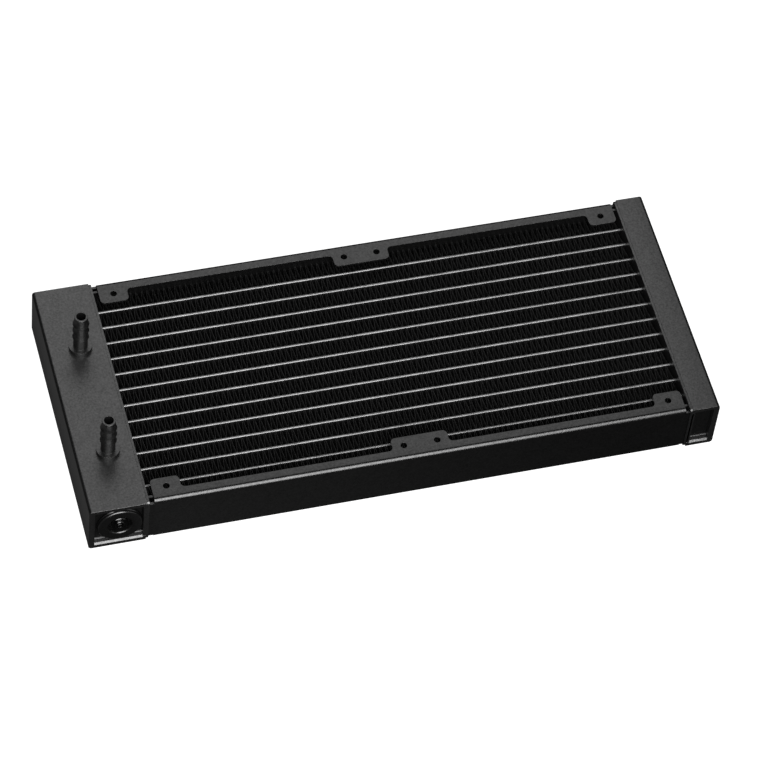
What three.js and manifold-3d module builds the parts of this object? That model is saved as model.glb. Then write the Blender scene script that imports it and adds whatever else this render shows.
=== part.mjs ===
// Two-fan liquid cooling radiator: two brazed end tanks joined by flat coolant tubes with corrugated
// fins between them, and a folded side channel along each long side that carries the fan screw tabs.
// Millimetres, +Z up. The origin is under the middle of the radiator, on the plane it lies on.
// X runs along the tubes, the two hose barbs stand up (+Z) from the tank at -X.

import * as THREE from "three";
import { mergeVertices } from "three/addons/utils/BufferGeometryUtils.js";
import Module from "manifold-3d";

const wasm = await Module();
wasm.setup();

// ---------------------------------------------------------------------------------------------
// Driving dimensions
// ---------------------------------------------------------------------------------------------

const LENGTH = 282; // over both tanks, along X
const WIDTH = 120; // along Y
const HEIGHT = 27; // tanks, without the barbs
const MID_Z = HEIGHT / 2;
const SEAM = 0.05; // brazed joint line left between two pieces that meet

// Tanks: a folded shell, a header plate that closes its inner side, and a cap in each end
const LEFT_TANK_DEPTH = 26.3; // along X, header plate included
const RIGHT_TANK_DEPTH = 13.55;
const SHELL_SIDE_WALL = 2.6;
const SHELL_FLAT_WALL = 2.8; // top and bottom
const SHELL_EDGE_RADIUS = 1.5;
const SHELL_MOUTH_CHAMFER = 0.8; // along the inside top and bottom edges of each open end
const HEADER_THICKNESS = 1.0;
const HEADER_LAND = 1.4; // raised land that sits inside the shell
const HEADER_CORNER_RADIUS = 1.6;
const CAP_INSET = 1.6; // cap face behind the end of the shell
const CAP_THICKNESS = 1.6;
const CAP_STEP = 0.5; // the middle of the cap lies this far behind its top and bottom rims
const CAP_RIM = 1.55;
const DIVIDER_THICKNESS = 1.5;

// Core: flat tubes at an even pitch, a fin row on each side of every tube, a plate outside each end row
const TUBE_COUNT = 12;
const TUBE_PITCH = 8.594;
const TUBE_THICKNESS = 1.2;
const TUBE_WIDTH = 17.0;
const TUBE_WALL = 0.25;
const TUBE_INTO_TANK = 1.1; // past the inner face of the header plate
const FIN_WIDTH = 16.4;
const FIN_SHEET = 0.45;
const FIN_WAVES = 12;
const FIN_END_GAP = 1.2; // between the last fold and the header plate
const SIDE_PLATE_THICKNESS = 1.0;

// Side channels: folded sheet, with fan screw tabs on both flanges
const CHANNEL_SHEET = 1.2;
const CHANNEL_HALF_WIDTH = 59.4; // outer face of the web from the middle plane
const CHANNEL_TOP_BEND = 2.0; // outer radii of the folds
const CHANNEL_BOTTOM_BEND = 1.3;
const CHANNEL_HEIGHT = 26.8;
const FLANGE_EDGE = 54.3; // inner edge of the narrow flange
const TAB_EDGE = 48.0; // inner edge of the screw tabs
const TAB_RADIUS = 2.0;
const FAN_CENTRE_X = 6.6; // middle of the fan screw pattern
const FLANGE_HALF_LENGTH = 119.0; // past the flange's ends only the flat web is left
const CORNER_TAB_START = 106.3;
const MIDDLE_TAB_HALF = 12.6;
const SCREW_X = [-112.5, -7.5, 7.5, 112.5]; // from the middle of the pattern
const SCREW_Y = 52.5;
const SCREW_HOLE_RADIUS = 1.45;

// Hose barbs on the wide tank
const BARB_X = -126.4;
const BARB_REAR_Y = 26.4;
const BARB_FRONT_Y = -29.8;
const BARB_HEIGHT = 22.4; // above the tank
const BARB_BORE = 2.1; // radii from here on
const BARB_SPIGOT = 3.4;
const BARB_HOLE = 3.7;
const BARB_FLANGE = 5.15;
const BARB_FLANGE_HEIGHT = 2.0;
const BARB_NECK = 3.2;
const BARB_ROOT = 2.95;
const BARB_RIB = 3.65;
const BARB_TIP = 2.95;
const BARB_RIB_DEPTHS = [5.1, 9.6, 14.1]; // of each rib's sharp edge below the tip
const BARB_RIB_STEP = 0.35; // axial length of the undercut behind a rib
const BARB_RIB_LENGTH = 3.4; // of the slope from a rib's edge down to the root
const BARB_SPIGOT_PAST = 0.8; // how far the spigot stands below the tank's top wall
const BARB_FLANGE_CHAMFER = 0.2;
const BARB_FOOT_FILLET = 0.5;
const BARB_TIP_CHAMFER = 0.4;
const BARB_SEGMENTS = 20;

// Fill port in the front end of the wide tank; depths run inwards from the face of the boss
const PORT_X = -127.3;
const PORT_FACE_Y = -59.9;
const PORT_DISC = 9.9;
const PORT_DISC_ROUND = 0.8;
const PORT_BRAZE = 10.15; // edge of the braze round the foot of the disc
const PORT_BRAZE_HEIGHT = 0.3;
const PORT_PILOT = 9.0; // fits between the rims of the cap
const PORT_NECK = 6.9;
const PORT_NECK_HOLE = 7.2;
const PORT_DEPTH = 11.0;
const PORT_COUNTERBORE = 5.3;
const PORT_MOUTH_ROUND = 0.8; // of the counterbore's edge
const PORT_COUNTERBORE_DEPTH = 3.2;
const PORT_THREAD_BORE = 2.5;
const PLUG_THREAD = 2.4;
const PLUG_LENGTH = 6.4;
const PLUG_TIP_CHAMFER = 0.4;
const PLUG_HEAD = 3.7;
const PLUG_HEAD_DEPTH = 0.1; // top of the plug's head behind the boss face
const PLUG_HEAD_HEIGHT = 2.0;
const PLUG_CROWN = 2.4; // round boss on the head, with the socket in it
const PLUG_CROWN_HEIGHT = 0.9;
const PLUG_CROWN_ROUND = 0.6;
const PLUG_SOCKET_FLATS = 2.5;
const PLUG_SOCKET_DEPTH = 1.4;
const SEAL_INNER = 2.6;
const SEAL_SECTION = 0.5;
const SEAL_SECTION_SIDES = 8;
const SEAL_SEGMENTS = 16;

const ROUND_SEGMENTS = 24;
const ARC_DETAIL = 2; // a quarter turn gets twice this many straight steps
const EDGE_STEPS = 4; // of a turned piece's rounded edge
const SCREW_HOLE_SIDES = 12;
const CUT_MARGIN = 1; // how far a cutting solid runs past what it cuts

// ---------------------------------------------------------------------------------------------
// Worked-out places
// ---------------------------------------------------------------------------------------------

const LEFT_X = -LENGTH / 2;
const RIGHT_X = LENGTH / 2;
const LEFT_CORE_FACE = LEFT_X + LEFT_TANK_DEPTH;
const RIGHT_CORE_FACE = RIGHT_X - RIGHT_TANK_DEPTH;
const HEADER_DEPTH = HEADER_THICKNESS + HEADER_LAND;
const CAVITY_HEIGHT = HEIGHT - 2 * SHELL_FLAT_WALL;
const CHANNEL_LOW = (HEIGHT - CHANNEL_HEIGHT) / 2;
const CHANNEL_HIGH = (HEIGHT + CHANNEL_HEIGHT) / 2;
const TUBE_REACH = HEADER_DEPTH + TUBE_INTO_TANK;
const FIN_HEIGHT = TUBE_PITCH - TUBE_THICKNESS;
const SIDE_PLATE_INNER = ((TUBE_COUNT + 1) / 2) * TUBE_PITCH - TUBE_THICKNESS / 2;

// ---------------------------------------------------------------------------------------------
// Geometry helpers
// ---------------------------------------------------------------------------------------------

// Shape drawn in (Y, Z), extruded along +X
const ALONG_X = new THREE.Matrix4().makeBasis(
  new THREE.Vector3(0, 1, 0),
  new THREE.Vector3(0, 0, 1),
  new THREE.Vector3(1, 0, 0),
);
// Shape drawn in (X, Z), extruded along -Y
const ALONG_MINUS_Y = new THREE.Matrix4().makeBasis(
  new THREE.Vector3(1, 0, 0),
  new THREE.Vector3(0, 0, 1),
  new THREE.Vector3(0, -1, 0),
);
const ALONG_Z = new THREE.Matrix4();

function welded(geometry) {
  const bare = geometry.clone();
  bare.deleteAttribute("normal");
  bare.deleteAttribute("uv");
  return mergeVertices(bare, 1e-4);
}

function solidOf(geometry) {
  const mesh = welded(geometry);
  const vertProperties = new Float32Array(mesh.attributes.position.array);
  const triVerts = new Uint32Array(mesh.index.array);
  return new wasm.Manifold(new wasm.Mesh({ numProp: 3, vertProperties, triVerts }));
}

function geometryOf(solid) {
  const mesh = solid.getMesh();
  const geometry = new THREE.BufferGeometry();
  geometry.setAttribute("position", new THREE.BufferAttribute(mesh.vertProperties, 3));
  geometry.setIndex(new THREE.BufferAttribute(mesh.triVerts, 1));
  geometry.computeVertexNormals();
  return geometry;
}

function extruded(shape, length, direction) {
  const settings = { depth: length, bevelEnabled: false, curveSegments: ARC_DETAIL };
  return new THREE.ExtrudeGeometry(shape, settings).applyMatrix4(direction);
}

function box(x0, x1, y0, y1, z0, z1) {
  const geometry = new THREE.BoxGeometry(x1 - x0, y1 - y0, z1 - z0);
  return geometry.translate((x0 + x1) / 2, (y0 + y1) / 2, (z0 + z1) / 2);
}

// Body of revolution about +Z from points (radius, height), listed upwards along the outside
function turned(points, segments = ROUND_SEGMENTS) {
  const outline = points.map(([radius, height]) => new THREE.Vector2(radius, height));
  return new THREE.LatheGeometry(outline, segments).rotateX(Math.PI / 2);
}

// The same, standing out of the front of the radiator: height counts along -Y
function turnedForward(points, segments = ROUND_SEGMENTS) {
  const outline = points.map(([radius, height]) => new THREE.Vector2(radius, height));
  return new THREE.LatheGeometry(outline, segments).rotateX(Math.PI);
}

function roundedRectangle(x0, x1, y0, y1, radius) {
  const shape = new THREE.Shape();
  shape.moveTo(x0 + radius, y0);
  shape.lineTo(x1 - radius, y0);
  shape.absarc(x1 - radius, y0 + radius, radius, -Math.PI / 2, 0);
  shape.lineTo(x1, y1 - radius);
  shape.absarc(x1 - radius, y1 - radius, radius, 0, Math.PI / 2);
  shape.lineTo(x0 + radius, y1);
  shape.absarc(x0 + radius, y1 - radius, radius, Math.PI / 2, Math.PI);
  shape.lineTo(x0, y0 + radius);
  shape.absarc(x0 + radius, y0 + radius, radius, Math.PI, 1.5 * Math.PI);
  return shape;
}

function circlePoints(x, y, radius, sides) {
  return Array.from({ length: sides }, (_, i) => {
    const angle = (2 * Math.PI * i) / sides;
    return new THREE.Vector2(x + radius * Math.cos(angle), y + radius * Math.sin(angle));
  });
}

function tubeY(index) {
  return ((TUBE_COUNT - 1) / 2 - index) * TUBE_PITCH;
}

// ---------------------------------------------------------------------------------------------
// Tanks. Each piece is drawn for a tank whose outer face is at x = 0 and whose core side is at
// x = depth, centred on y = 0; the right tank is the same pieces turned half a turn about Z.
// ---------------------------------------------------------------------------------------------

// Wedge that heightens the open end of the tank. Half its length lies beyond the end, and over its whole
// length the top and bottom move out by as much, so they slope at 45 degrees.
function mouthCutter(depth) {
  const length = 2 * SHELL_MOUTH_CHAMFER;
  const width = depth - SHELL_SIDE_WALL - HEADER_DEPTH;
  const geometry = new THREE.BoxGeometry(width, length, CAVITY_HEIGHT);
  const position = geometry.attributes.position;
  for (let i = 0; i < position.count; i += 1) {
    if (position.getY(i) > 0) continue;
    position.setZ(i, position.getZ(i) + Math.sign(position.getZ(i)) * length);
  }
  return geometry.translate(SHELL_SIDE_WALL + width / 2, -WIDTH / 2, MID_Z);
}

function tankShell(depth, barbs) {
  const seam = depth - HEADER_THICKNESS - SEAM;
  const r = SHELL_EDGE_RADIUS;
  const profile = new THREE.Shape();
  profile.moveTo(seam, 0);
  profile.lineTo(seam, SHELL_FLAT_WALL);
  profile.lineTo(SHELL_SIDE_WALL, SHELL_FLAT_WALL);
  profile.lineTo(SHELL_SIDE_WALL, HEIGHT - SHELL_FLAT_WALL);
  profile.lineTo(seam, HEIGHT - SHELL_FLAT_WALL);
  profile.lineTo(seam, HEIGHT);
  profile.lineTo(r, HEIGHT);
  profile.absarc(r, HEIGHT - r, r, Math.PI / 2, Math.PI);
  profile.lineTo(0, r);
  profile.absarc(r, r, r, Math.PI, 1.5 * Math.PI);
  let solid = solidOf(extruded(profile, WIDTH, ALONG_MINUS_Y).translate(0, WIDTH / 2, 0));
  const front = solidOf(mouthCutter(depth));
  const rear = front.rotate([0, 0, 180]).translate([depth - HEADER_DEPTH + SHELL_SIDE_WALL, 0, 0]);
  solid = solid.subtract(front).subtract(rear);
  for (const [x, y] of barbs) {
    const drill = new THREE.CylinderGeometry(BARB_HOLE, BARB_HOLE, HEIGHT, ROUND_SEGMENTS);
    solid = solid.subtract(solidOf(drill.rotateX(Math.PI / 2).translate(x, y, HEIGHT)));
  }
  return geometryOf(solid);
}

function tubeOutline(y, grown = 0) {
  const half = TUBE_THICKNESS / 2 + grown;
  const reach = (TUBE_WIDTH - TUBE_THICKNESS) / 2;
  const shape = new THREE.Shape();
  shape.moveTo(y + half, MID_Z - reach);
  shape.lineTo(y + half, MID_Z + reach);
  shape.absarc(y, MID_Z + reach, half, 0, Math.PI);
  shape.lineTo(y - half, MID_Z - reach);
  shape.absarc(y, MID_Z - reach, half, Math.PI, 2 * Math.PI);
  return shape;
}

function headerPlate(depth) {
  const [start, end] = [-WIDTH / 2, WIDTH / 2];
  const outline = roundedRectangle(start, end, 0, HEIGHT, HEADER_CORNER_RADIUS);
  const plate = extruded(outline, HEADER_THICKNESS, ALONG_X).translate(depth - HEADER_THICKNESS, 0, 0);
  const [low, high] = [SHELL_FLAT_WALL + SEAM, HEIGHT - SHELL_FLAT_WALL - SEAM];
  const land = box(depth - HEADER_DEPTH, depth - HEADER_THICKNESS, start, end, low, high);
  let solid = solidOf(plate).add(solidOf(land));
  for (let i = 0; i < TUBE_COUNT; i += 1) {
    const slot = extruded(tubeOutline(tubeY(i), SEAM), HEADER_DEPTH + 2 * CUT_MARGIN, ALONG_X);
    solid = solid.subtract(solidOf(slot.translate(depth - HEADER_DEPTH - CUT_MARGIN, 0, 0)));
  }
  return geometryOf(solid);
}

// Pressed cap for the front (-Y) end: rims along its top and bottom, the middle set back
function endCap(depth, portX = null) {
  const [x0, x1] = [SHELL_SIDE_WALL + SEAM, depth - HEADER_DEPTH - SEAM];
  const face = -WIDTH / 2 + CAP_INSET;
  const [z0, z1] = [SHELL_FLAT_WALL + SEAM, HEIGHT - SHELL_FLAT_WALL - SEAM];
  const plate = solidOf(box(x0, x1, face, face + CAP_THICKNESS, z0, z1));
  const [recess0, recess1] = [x0 - CUT_MARGIN, x1 + CUT_MARGIN];
  const [rim0, rim1] = [z0 + CAP_RIM, z1 - CAP_RIM];
  const recess = box(recess0, recess1, face - CUT_MARGIN, face + CAP_STEP, rim0, rim1);
  let solid = plate.subtract(solidOf(recess));
  if (portX !== null) {
    const hole = new THREE.CylinderGeometry(PORT_NECK_HOLE, PORT_NECK_HOLE, HEIGHT, ROUND_SEGMENTS);
    solid = solid.subtract(solidOf(hole.translate(portX, face, MID_Z)));
  }
  return geometryOf(solid);
}

// Plate across the wide tank that keeps the coolant going in apart from the coolant coming out
function dividerPlate() {
  const [x0, x1] = [SHELL_SIDE_WALL + SEAM, LEFT_TANK_DEPTH - HEADER_DEPTH - SEAM];
  const [z0, z1] = [SHELL_FLAT_WALL + SEAM, HEIGHT - SHELL_FLAT_WALL - SEAM];
  return box(x0, x1, -DIVIDER_THICKNESS / 2, DIVIDER_THICKNESS / 2, z0, z1);
}

// ---------------------------------------------------------------------------------------------
// Hose barb, standing on z = 0 with its spigot below
// ---------------------------------------------------------------------------------------------

function hoseBarb() {
  const spigotEnd = -(SHELL_FLAT_WALL + BARB_SPIGOT_PAST);
  const flangeTop = SEAM + BARB_FLANGE_HEIGHT;
  const outside = [
    [BARB_BORE, spigotEnd],
    [BARB_SPIGOT, spigotEnd],
    [BARB_SPIGOT, SEAM],
    [BARB_FLANGE, SEAM],
    [BARB_FLANGE, flangeTop - BARB_FLANGE_CHAMFER],
    [BARB_FLANGE - BARB_FLANGE_CHAMFER, flangeTop],
    [BARB_NECK + BARB_FOOT_FILLET, flangeTop],
    [BARB_NECK, flangeTop + BARB_FOOT_FILLET],
  ];
  let below = BARB_NECK;
  for (const depth of [...BARB_RIB_DEPTHS].reverse()) {
    const edge = BARB_HEIGHT - depth;
    outside.push([below, edge - BARB_RIB_STEP], [BARB_RIB, edge]);
    outside.push([BARB_ROOT, edge + BARB_RIB_LENGTH]);
    below = BARB_ROOT;
  }
  outside.push([BARB_TIP, BARB_HEIGHT - BARB_TIP_CHAMFER]);
  outside.push([BARB_TIP - BARB_TIP_CHAMFER, BARB_HEIGHT]);
  outside.push([BARB_BORE, BARB_HEIGHT], [BARB_BORE, spigotEnd]);
  return turned(outside, BARB_SEGMENTS);
}

// ---------------------------------------------------------------------------------------------
// Fill port, plug and seal. Drawn about y = 0 at the boss face; height counts outwards (-Y).
// ---------------------------------------------------------------------------------------------

// Points of a quarter circle about (radius, height), turning on from the start angle in degrees
function roundedEdge(radius, height, size, start) {
  const points = [];
  for (let i = 0; i <= EDGE_STEPS; i += 1) {
    const angle = THREE.MathUtils.degToRad(start + (90 * i) / EDGE_STEPS);
    points.push([radius + size * Math.cos(angle), height + size * Math.sin(angle)]);
  }
  return points;
}

function portBoss() {
  const rimSeat = PORT_FACE_Y - (-WIDTH / 2 + CAP_INSET) + SEAM; // back of the disc, on the cap's rims
  const seat = rimSeat - CAP_STEP;
  return turnedForward([
    [PORT_THREAD_BORE, -PORT_DEPTH],
    [PORT_NECK, -PORT_DEPTH],
    [PORT_NECK, seat],
    [PORT_PILOT, seat],
    [PORT_PILOT, rimSeat],
    [PORT_BRAZE, rimSeat],
    [PORT_DISC, rimSeat + PORT_BRAZE_HEIGHT],
    ...roundedEdge(PORT_DISC - PORT_DISC_ROUND, -PORT_DISC_ROUND, PORT_DISC_ROUND, 0),
    ...roundedEdge(PORT_COUNTERBORE + PORT_MOUTH_ROUND, -PORT_MOUTH_ROUND, PORT_MOUTH_ROUND, 90),
    [PORT_COUNTERBORE, -PORT_COUNTERBORE_DEPTH],
    [PORT_THREAD_BORE, -PORT_COUNTERBORE_DEPTH],
    [PORT_THREAD_BORE, -PORT_DEPTH],
  ]);
}

function fillPlug() {
  const headBottom = -PLUG_HEAD_DEPTH - PLUG_HEAD_HEIGHT;
  const body = turnedForward([
    [0, headBottom - PLUG_LENGTH],
    [PLUG_THREAD - PLUG_TIP_CHAMFER, headBottom - PLUG_LENGTH],
    [PLUG_THREAD, headBottom - PLUG_LENGTH + PLUG_TIP_CHAMFER],
    [PLUG_THREAD, headBottom],
    [PLUG_HEAD, headBottom],
    [PLUG_HEAD, -PLUG_HEAD_DEPTH - PLUG_CROWN_HEIGHT],
    [PLUG_CROWN, -PLUG_HEAD_DEPTH - PLUG_CROWN_HEIGHT],
    ...roundedEdge(PLUG_CROWN - PLUG_CROWN_ROUND, -PLUG_HEAD_DEPTH - PLUG_CROWN_ROUND, PLUG_CROWN_ROUND, 0),
    [0, -PLUG_HEAD_DEPTH],
  ]);
  const acrossCorners = PLUG_SOCKET_FLATS / Math.sqrt(3);
  const socket = new THREE.CylinderGeometry(acrossCorners, acrossCorners, 2 * PLUG_SOCKET_DEPTH, 6);
  return geometryOf(solidOf(body).subtract(solidOf(socket.translate(0, PLUG_HEAD_DEPTH, 0))));
}

function plugSeal() {
  const middle = -(PLUG_HEAD_DEPTH + PLUG_HEAD_HEIGHT + PORT_COUNTERBORE_DEPTH) / 2;
  const ring = [];
  for (let i = 0; i <= SEAL_SECTION_SIDES; i += 1) {
    const angle = (2 * Math.PI * (i % SEAL_SECTION_SIDES)) / SEAL_SECTION_SIDES;
    const radius = SEAL_INNER + SEAL_SECTION * (1 + Math.cos(angle));
    ring.push([radius, middle + SEAL_SECTION * Math.sin(angle)]);
  }
  return turnedForward(ring, SEAL_SEGMENTS);
}

// ---------------------------------------------------------------------------------------------
// Core
// ---------------------------------------------------------------------------------------------

function coolantTube(index) {
  const outline = tubeOutline(tubeY(index));
  outline.holes.push(tubeOutline(tubeY(index), -TUBE_WALL));
  const [x0, x1] = [LEFT_CORE_FACE - TUBE_REACH, RIGHT_CORE_FACE + TUBE_REACH];
  return extruded(outline, x1 - x0, ALONG_X).translate(x0, 0, 0);
}

// One corrugated strip: a zigzag sheet that folds from one tube wall to the next, drawn in (X, Y)
function finRow(index) {
  const centre = tubeY(index - 0.5);
  const [x0, x1] = [LEFT_CORE_FACE + FIN_END_GAP, RIGHT_CORE_FACE - FIN_END_GAP];
  const folds = 2 * FIN_WAVES;
  const step = (x1 - x0) / folds;
  const rise = FIN_HEIGHT - 2 * SEAM;
  const slope = Math.hypot(step, rise);
  const along = (FIN_SHEET * slope) / rise; // sheet thickness measured along X
  const swing = rise / 2;
  const near = [];
  const far = [];
  for (let i = 0; i <= folds; i += 1) {
    const y = centre + (i % 2 === 0 ? -swing : swing);
    const x = x0 + i * step;
    near.push(new THREE.Vector2(x - along / 2, y));
    far.push(new THREE.Vector2(x + along / 2, y));
  }
  const shape = new THREE.Shape(zigzagOutline(near, far));
  return extruded(shape, FIN_WIDTH, ALONG_Z).translate(0, 0, MID_Z - FIN_WIDTH / 2);
}

// The two long sides of a zigzag sheet, given its folds' left and right corners on the tube walls
function zigzagOutline(near, far) {
  const upper = [];
  const lower = [];
  near.forEach((left, i) => {
    const right = far[i];
    if (i % 2 === 0) {
      lower.push(left, right);
      upper.push(new THREE.Vector2((left.x + right.x) / 2, left.y + foldRise(near, far)));
    } else {
      upper.push(left, right);
      lower.push(new THREE.Vector2((left.x + right.x) / 2, left.y - foldRise(near, far)));
    }
  });
  return [...lower, ...upper.reverse()];
}

// How far the inside of a fold lies from its outside, measured square to the tube wall
function foldRise(near, far) {
  const run = near[1].x - near[0].x;
  const rise = Math.abs(near[1].y - near[0].y);
  return ((far[0].x - near[0].x) / 2) * (rise / run);
}

function coreSidePlate() {
  const [x0, x1] = [LEFT_CORE_FACE + SEAM, RIGHT_CORE_FACE - SEAM];
  const [y0, y1] = [SIDE_PLATE_INNER, SIDE_PLATE_INNER + SIDE_PLATE_THICKNESS];
  const clear = CHANNEL_LOW + CHANNEL_SHEET + SEAM;
  return box(x0, x1, y0, y1, clear, HEIGHT - clear);
}

// ---------------------------------------------------------------------------------------------
// Side channel for the rear (+Y) side; the front one is laid out upside down and turned over about X
// ---------------------------------------------------------------------------------------------

function channelSection(lowBend, highBend) {
  const [low, high] = [CHANNEL_LOW, CHANNEL_HIGH];
  const [lowY, highY] = [CHANNEL_HALF_WIDTH - lowBend, CHANNEL_HALF_WIDTH - highBend];
  const inside = CHANNEL_HALF_WIDTH - CHANNEL_SHEET;
  const edge = TAB_EDGE - CUT_MARGIN;
  const shape = new THREE.Shape();
  shape.moveTo(edge, low);
  shape.lineTo(lowY, low);
  shape.absarc(lowY, low + lowBend, lowBend, -Math.PI / 2, 0);
  shape.lineTo(CHANNEL_HALF_WIDTH, high - highBend);
  shape.absarc(highY, high - highBend, highBend, 0, Math.PI / 2);
  shape.lineTo(edge, high);
  shape.lineTo(edge, high - CHANNEL_SHEET);
  shape.lineTo(highY, high - CHANNEL_SHEET);
  shape.absarc(highY, high - highBend, highBend - CHANNEL_SHEET, Math.PI / 2, 0, true);
  shape.lineTo(inside, low + lowBend);
  shape.absarc(lowY, low + lowBend, lowBend - CHANNEL_SHEET, 0, -Math.PI / 2, true);
  shape.lineTo(edge, low + CHANNEL_SHEET);
  return shape;
}

// Seen from above: the flange with its three tabs, and the screw holes
function flangePlan() {
  const outside = CHANNEL_HALF_WIDTH + CUT_MARGIN;
  const r = TAB_RADIUS;
  const shape = new THREE.Shape();
  const tabs = [
    [-FLANGE_HALF_LENGTH, -CORNER_TAB_START],
    [-MIDDLE_TAB_HALF, MIDDLE_TAB_HALF],
    [CORNER_TAB_START, FLANGE_HALF_LENGTH],
  ];
  shape.moveTo(-FLANGE_HALF_LENGTH, outside);
  for (const [start, end] of tabs) {
    if (start > -FLANGE_HALF_LENGTH) {
      shape.lineTo(start - r, FLANGE_EDGE);
      shape.absarc(start - r, FLANGE_EDGE - r, r, Math.PI / 2, 0, true);
    }
    shape.lineTo(start, TAB_EDGE + r);
    shape.absarc(start + r, TAB_EDGE + r, r, Math.PI, 1.5 * Math.PI);
    shape.lineTo(end - r, TAB_EDGE);
    shape.absarc(end - r, TAB_EDGE + r, r, -Math.PI / 2, 0);
    if (end < FLANGE_HALF_LENGTH) {
      shape.lineTo(end, FLANGE_EDGE - r);
      shape.absarc(end + r, FLANGE_EDGE - r, r, Math.PI, Math.PI / 2, true);
    }
  }
  shape.lineTo(FLANGE_HALF_LENGTH, outside);
  for (const x of SCREW_X) {
    shape.holes.push(new THREE.Path(circlePoints(x, SCREW_Y, SCREW_HOLE_RADIUS, SCREW_HOLE_SIDES)));
  }
  return shape;
}

function sideChannel(lowBend, highBend) {
  const [x0, x1] = [LEFT_CORE_FACE + SEAM, RIGHT_CORE_FACE - SEAM];
  const section = extruded(channelSection(lowBend, highBend), x1 - x0, ALONG_X);
  const folded = solidOf(section.translate(x0, 0, 0));
  const [below, above] = [-CUT_MARGIN, HEIGHT + CUT_MARGIN];
  const plan = extruded(flangePlan(), above - below, ALONG_Z).translate(FAN_CENTRE_X, 0, below);
  const inside = CHANNEL_HALF_WIDTH - CHANNEL_SHEET - CUT_MARGIN;
  const outside = CHANNEL_HALF_WIDTH + CUT_MARGIN;
  const [webLow, webHigh] = [CHANNEL_LOW + lowBend, CHANNEL_HIGH - highBend];
  const web = box(x0 - CUT_MARGIN, x1 + CUT_MARGIN, inside, outside, webLow, webHigh);
  return geometryOf(folded.intersect(solidOf(plan).add(solidOf(web))));
}

// ---------------------------------------------------------------------------------------------
// Materials
// ---------------------------------------------------------------------------------------------

function finish(color, roughness, metalness) {
  return new THREE.MeshStandardMaterial({ color, roughness, metalness });
}

const FINISHES = {
  tankPaint: () => finish(0x2b2b2d, 0.55, 0.2),
  channelPaint: () => finish(0x232325, 0.4, 0.3),
  capPaint: () => finish(0x1c1c1e, 0.5, 0.3),
  tubePaint: () => finish(0x1e1e20, 0.3, 0.3),
  finMetal: () => finish(0x0e0e0f, 0.6, 0.4),
  barbMetal: () => finish(0x303032, 0.4, 0.5),
  plugMetal: () => finish(0x2a2a2c, 0.3, 0.8),
  rubber: () => finish(0x111111, 0.8, 0),
};

// ---------------------------------------------------------------------------------------------
// Assembly
// ---------------------------------------------------------------------------------------------

const radiator = new THREE.Group();

function addPiece(parent, name, geometry, material) {
  const mesh = new THREE.Mesh(welded(geometry), material);
  mesh.name = name;
  parent.add(mesh);
  return mesh;
}

function buildTank(side, depth, portX, barbs) {
  const tank = new THREE.Group();
  addPiece(tank, `tank_shell_${side}`, tankShell(depth, barbs), FINISHES.tankPaint());
  addPiece(tank, `header_plate_${side}`, headerPlate(depth), FINISHES.tankPaint());
  const front = addPiece(tank, `end_cap_${side}_front`, endCap(depth, portX), FINISHES.capPaint());
  const rear = addPiece(tank, `end_cap_${side}_rear`, endCap(depth), FINISHES.capPaint());
  const outward = side === "left" ? rear : front;
  outward.rotation.z = Math.PI;
  outward.position.x = depth - HEADER_DEPTH + SHELL_SIDE_WALL;
  return tank;
}

const leftBarbs = [
  [BARB_X - LEFT_X, BARB_REAR_Y],
  [BARB_X - LEFT_X, BARB_FRONT_Y],
];
const leftTank = buildTank("left", LEFT_TANK_DEPTH, PORT_X - LEFT_X, leftBarbs);
leftTank.position.x = LEFT_X;
addPiece(leftTank, "divider_plate", dividerPlate(), FINISHES.tankPaint());
radiator.add(leftTank);

const rightTank = buildTank("right", RIGHT_TANK_DEPTH, null, []);
rightTank.position.x = RIGHT_X;
rightTank.rotation.z = Math.PI;
radiator.add(rightTank);

for (const [name, y] of [["hose_barb_rear", BARB_REAR_Y], ["hose_barb_front", BARB_FRONT_Y]]) {
  addPiece(radiator, name, hoseBarb(), FINISHES.barbMetal()).position.set(BARB_X, y, HEIGHT);
}

const port = new THREE.Group();
port.position.set(PORT_X, PORT_FACE_Y, MID_Z);
addPiece(port, "port_boss", portBoss(), FINISHES.capPaint());
addPiece(port, "fill_plug", fillPlug(), FINISHES.plugMetal());
addPiece(port, "plug_seal", plugSeal(), FINISHES.rubber());
radiator.add(port);

for (let i = 0; i < TUBE_COUNT; i += 1) {
  const number = String(i + 1).padStart(2, "0");
  addPiece(radiator, `tube_${number}`, coolantTube(i), FINISHES.tubePaint());
}
for (let i = 0; i <= TUBE_COUNT; i += 1) {
  const number = String(i + 1).padStart(2, "0");
  addPiece(radiator, `fin_row_${number}`, finRow(i), FINISHES.finMetal());
}

for (const side of ["rear", "front"]) {
  const edge = new THREE.Group();
  const bends = [CHANNEL_BOTTOM_BEND, CHANNEL_TOP_BEND];
  if (side === "front") {
    bends.reverse();
  }
  addPiece(edge, `side_channel_${side}`, sideChannel(...bends), FINISHES.channelPaint());
  addPiece(edge, `core_side_plate_${side}`, coreSidePlate(), FINISHES.channelPaint());
  if (side === "front") {
    edge.rotation.x = Math.PI;
    edge.position.z = HEIGHT;
  }
  radiator.add(edge);
}

export default radiator;
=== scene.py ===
"""Looks of a two-fan liquid cooling radiator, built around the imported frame.

Every piece is meshed in millimetres in the frame's own axes: X along the tubes, the hose barbs up
(+Z) from the wide tank at -X, the fill port in that tank's front (-Y) end.
"""

import math

import bmesh
import bpy
import numpy as np
from mathutils import Matrix, Vector

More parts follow.
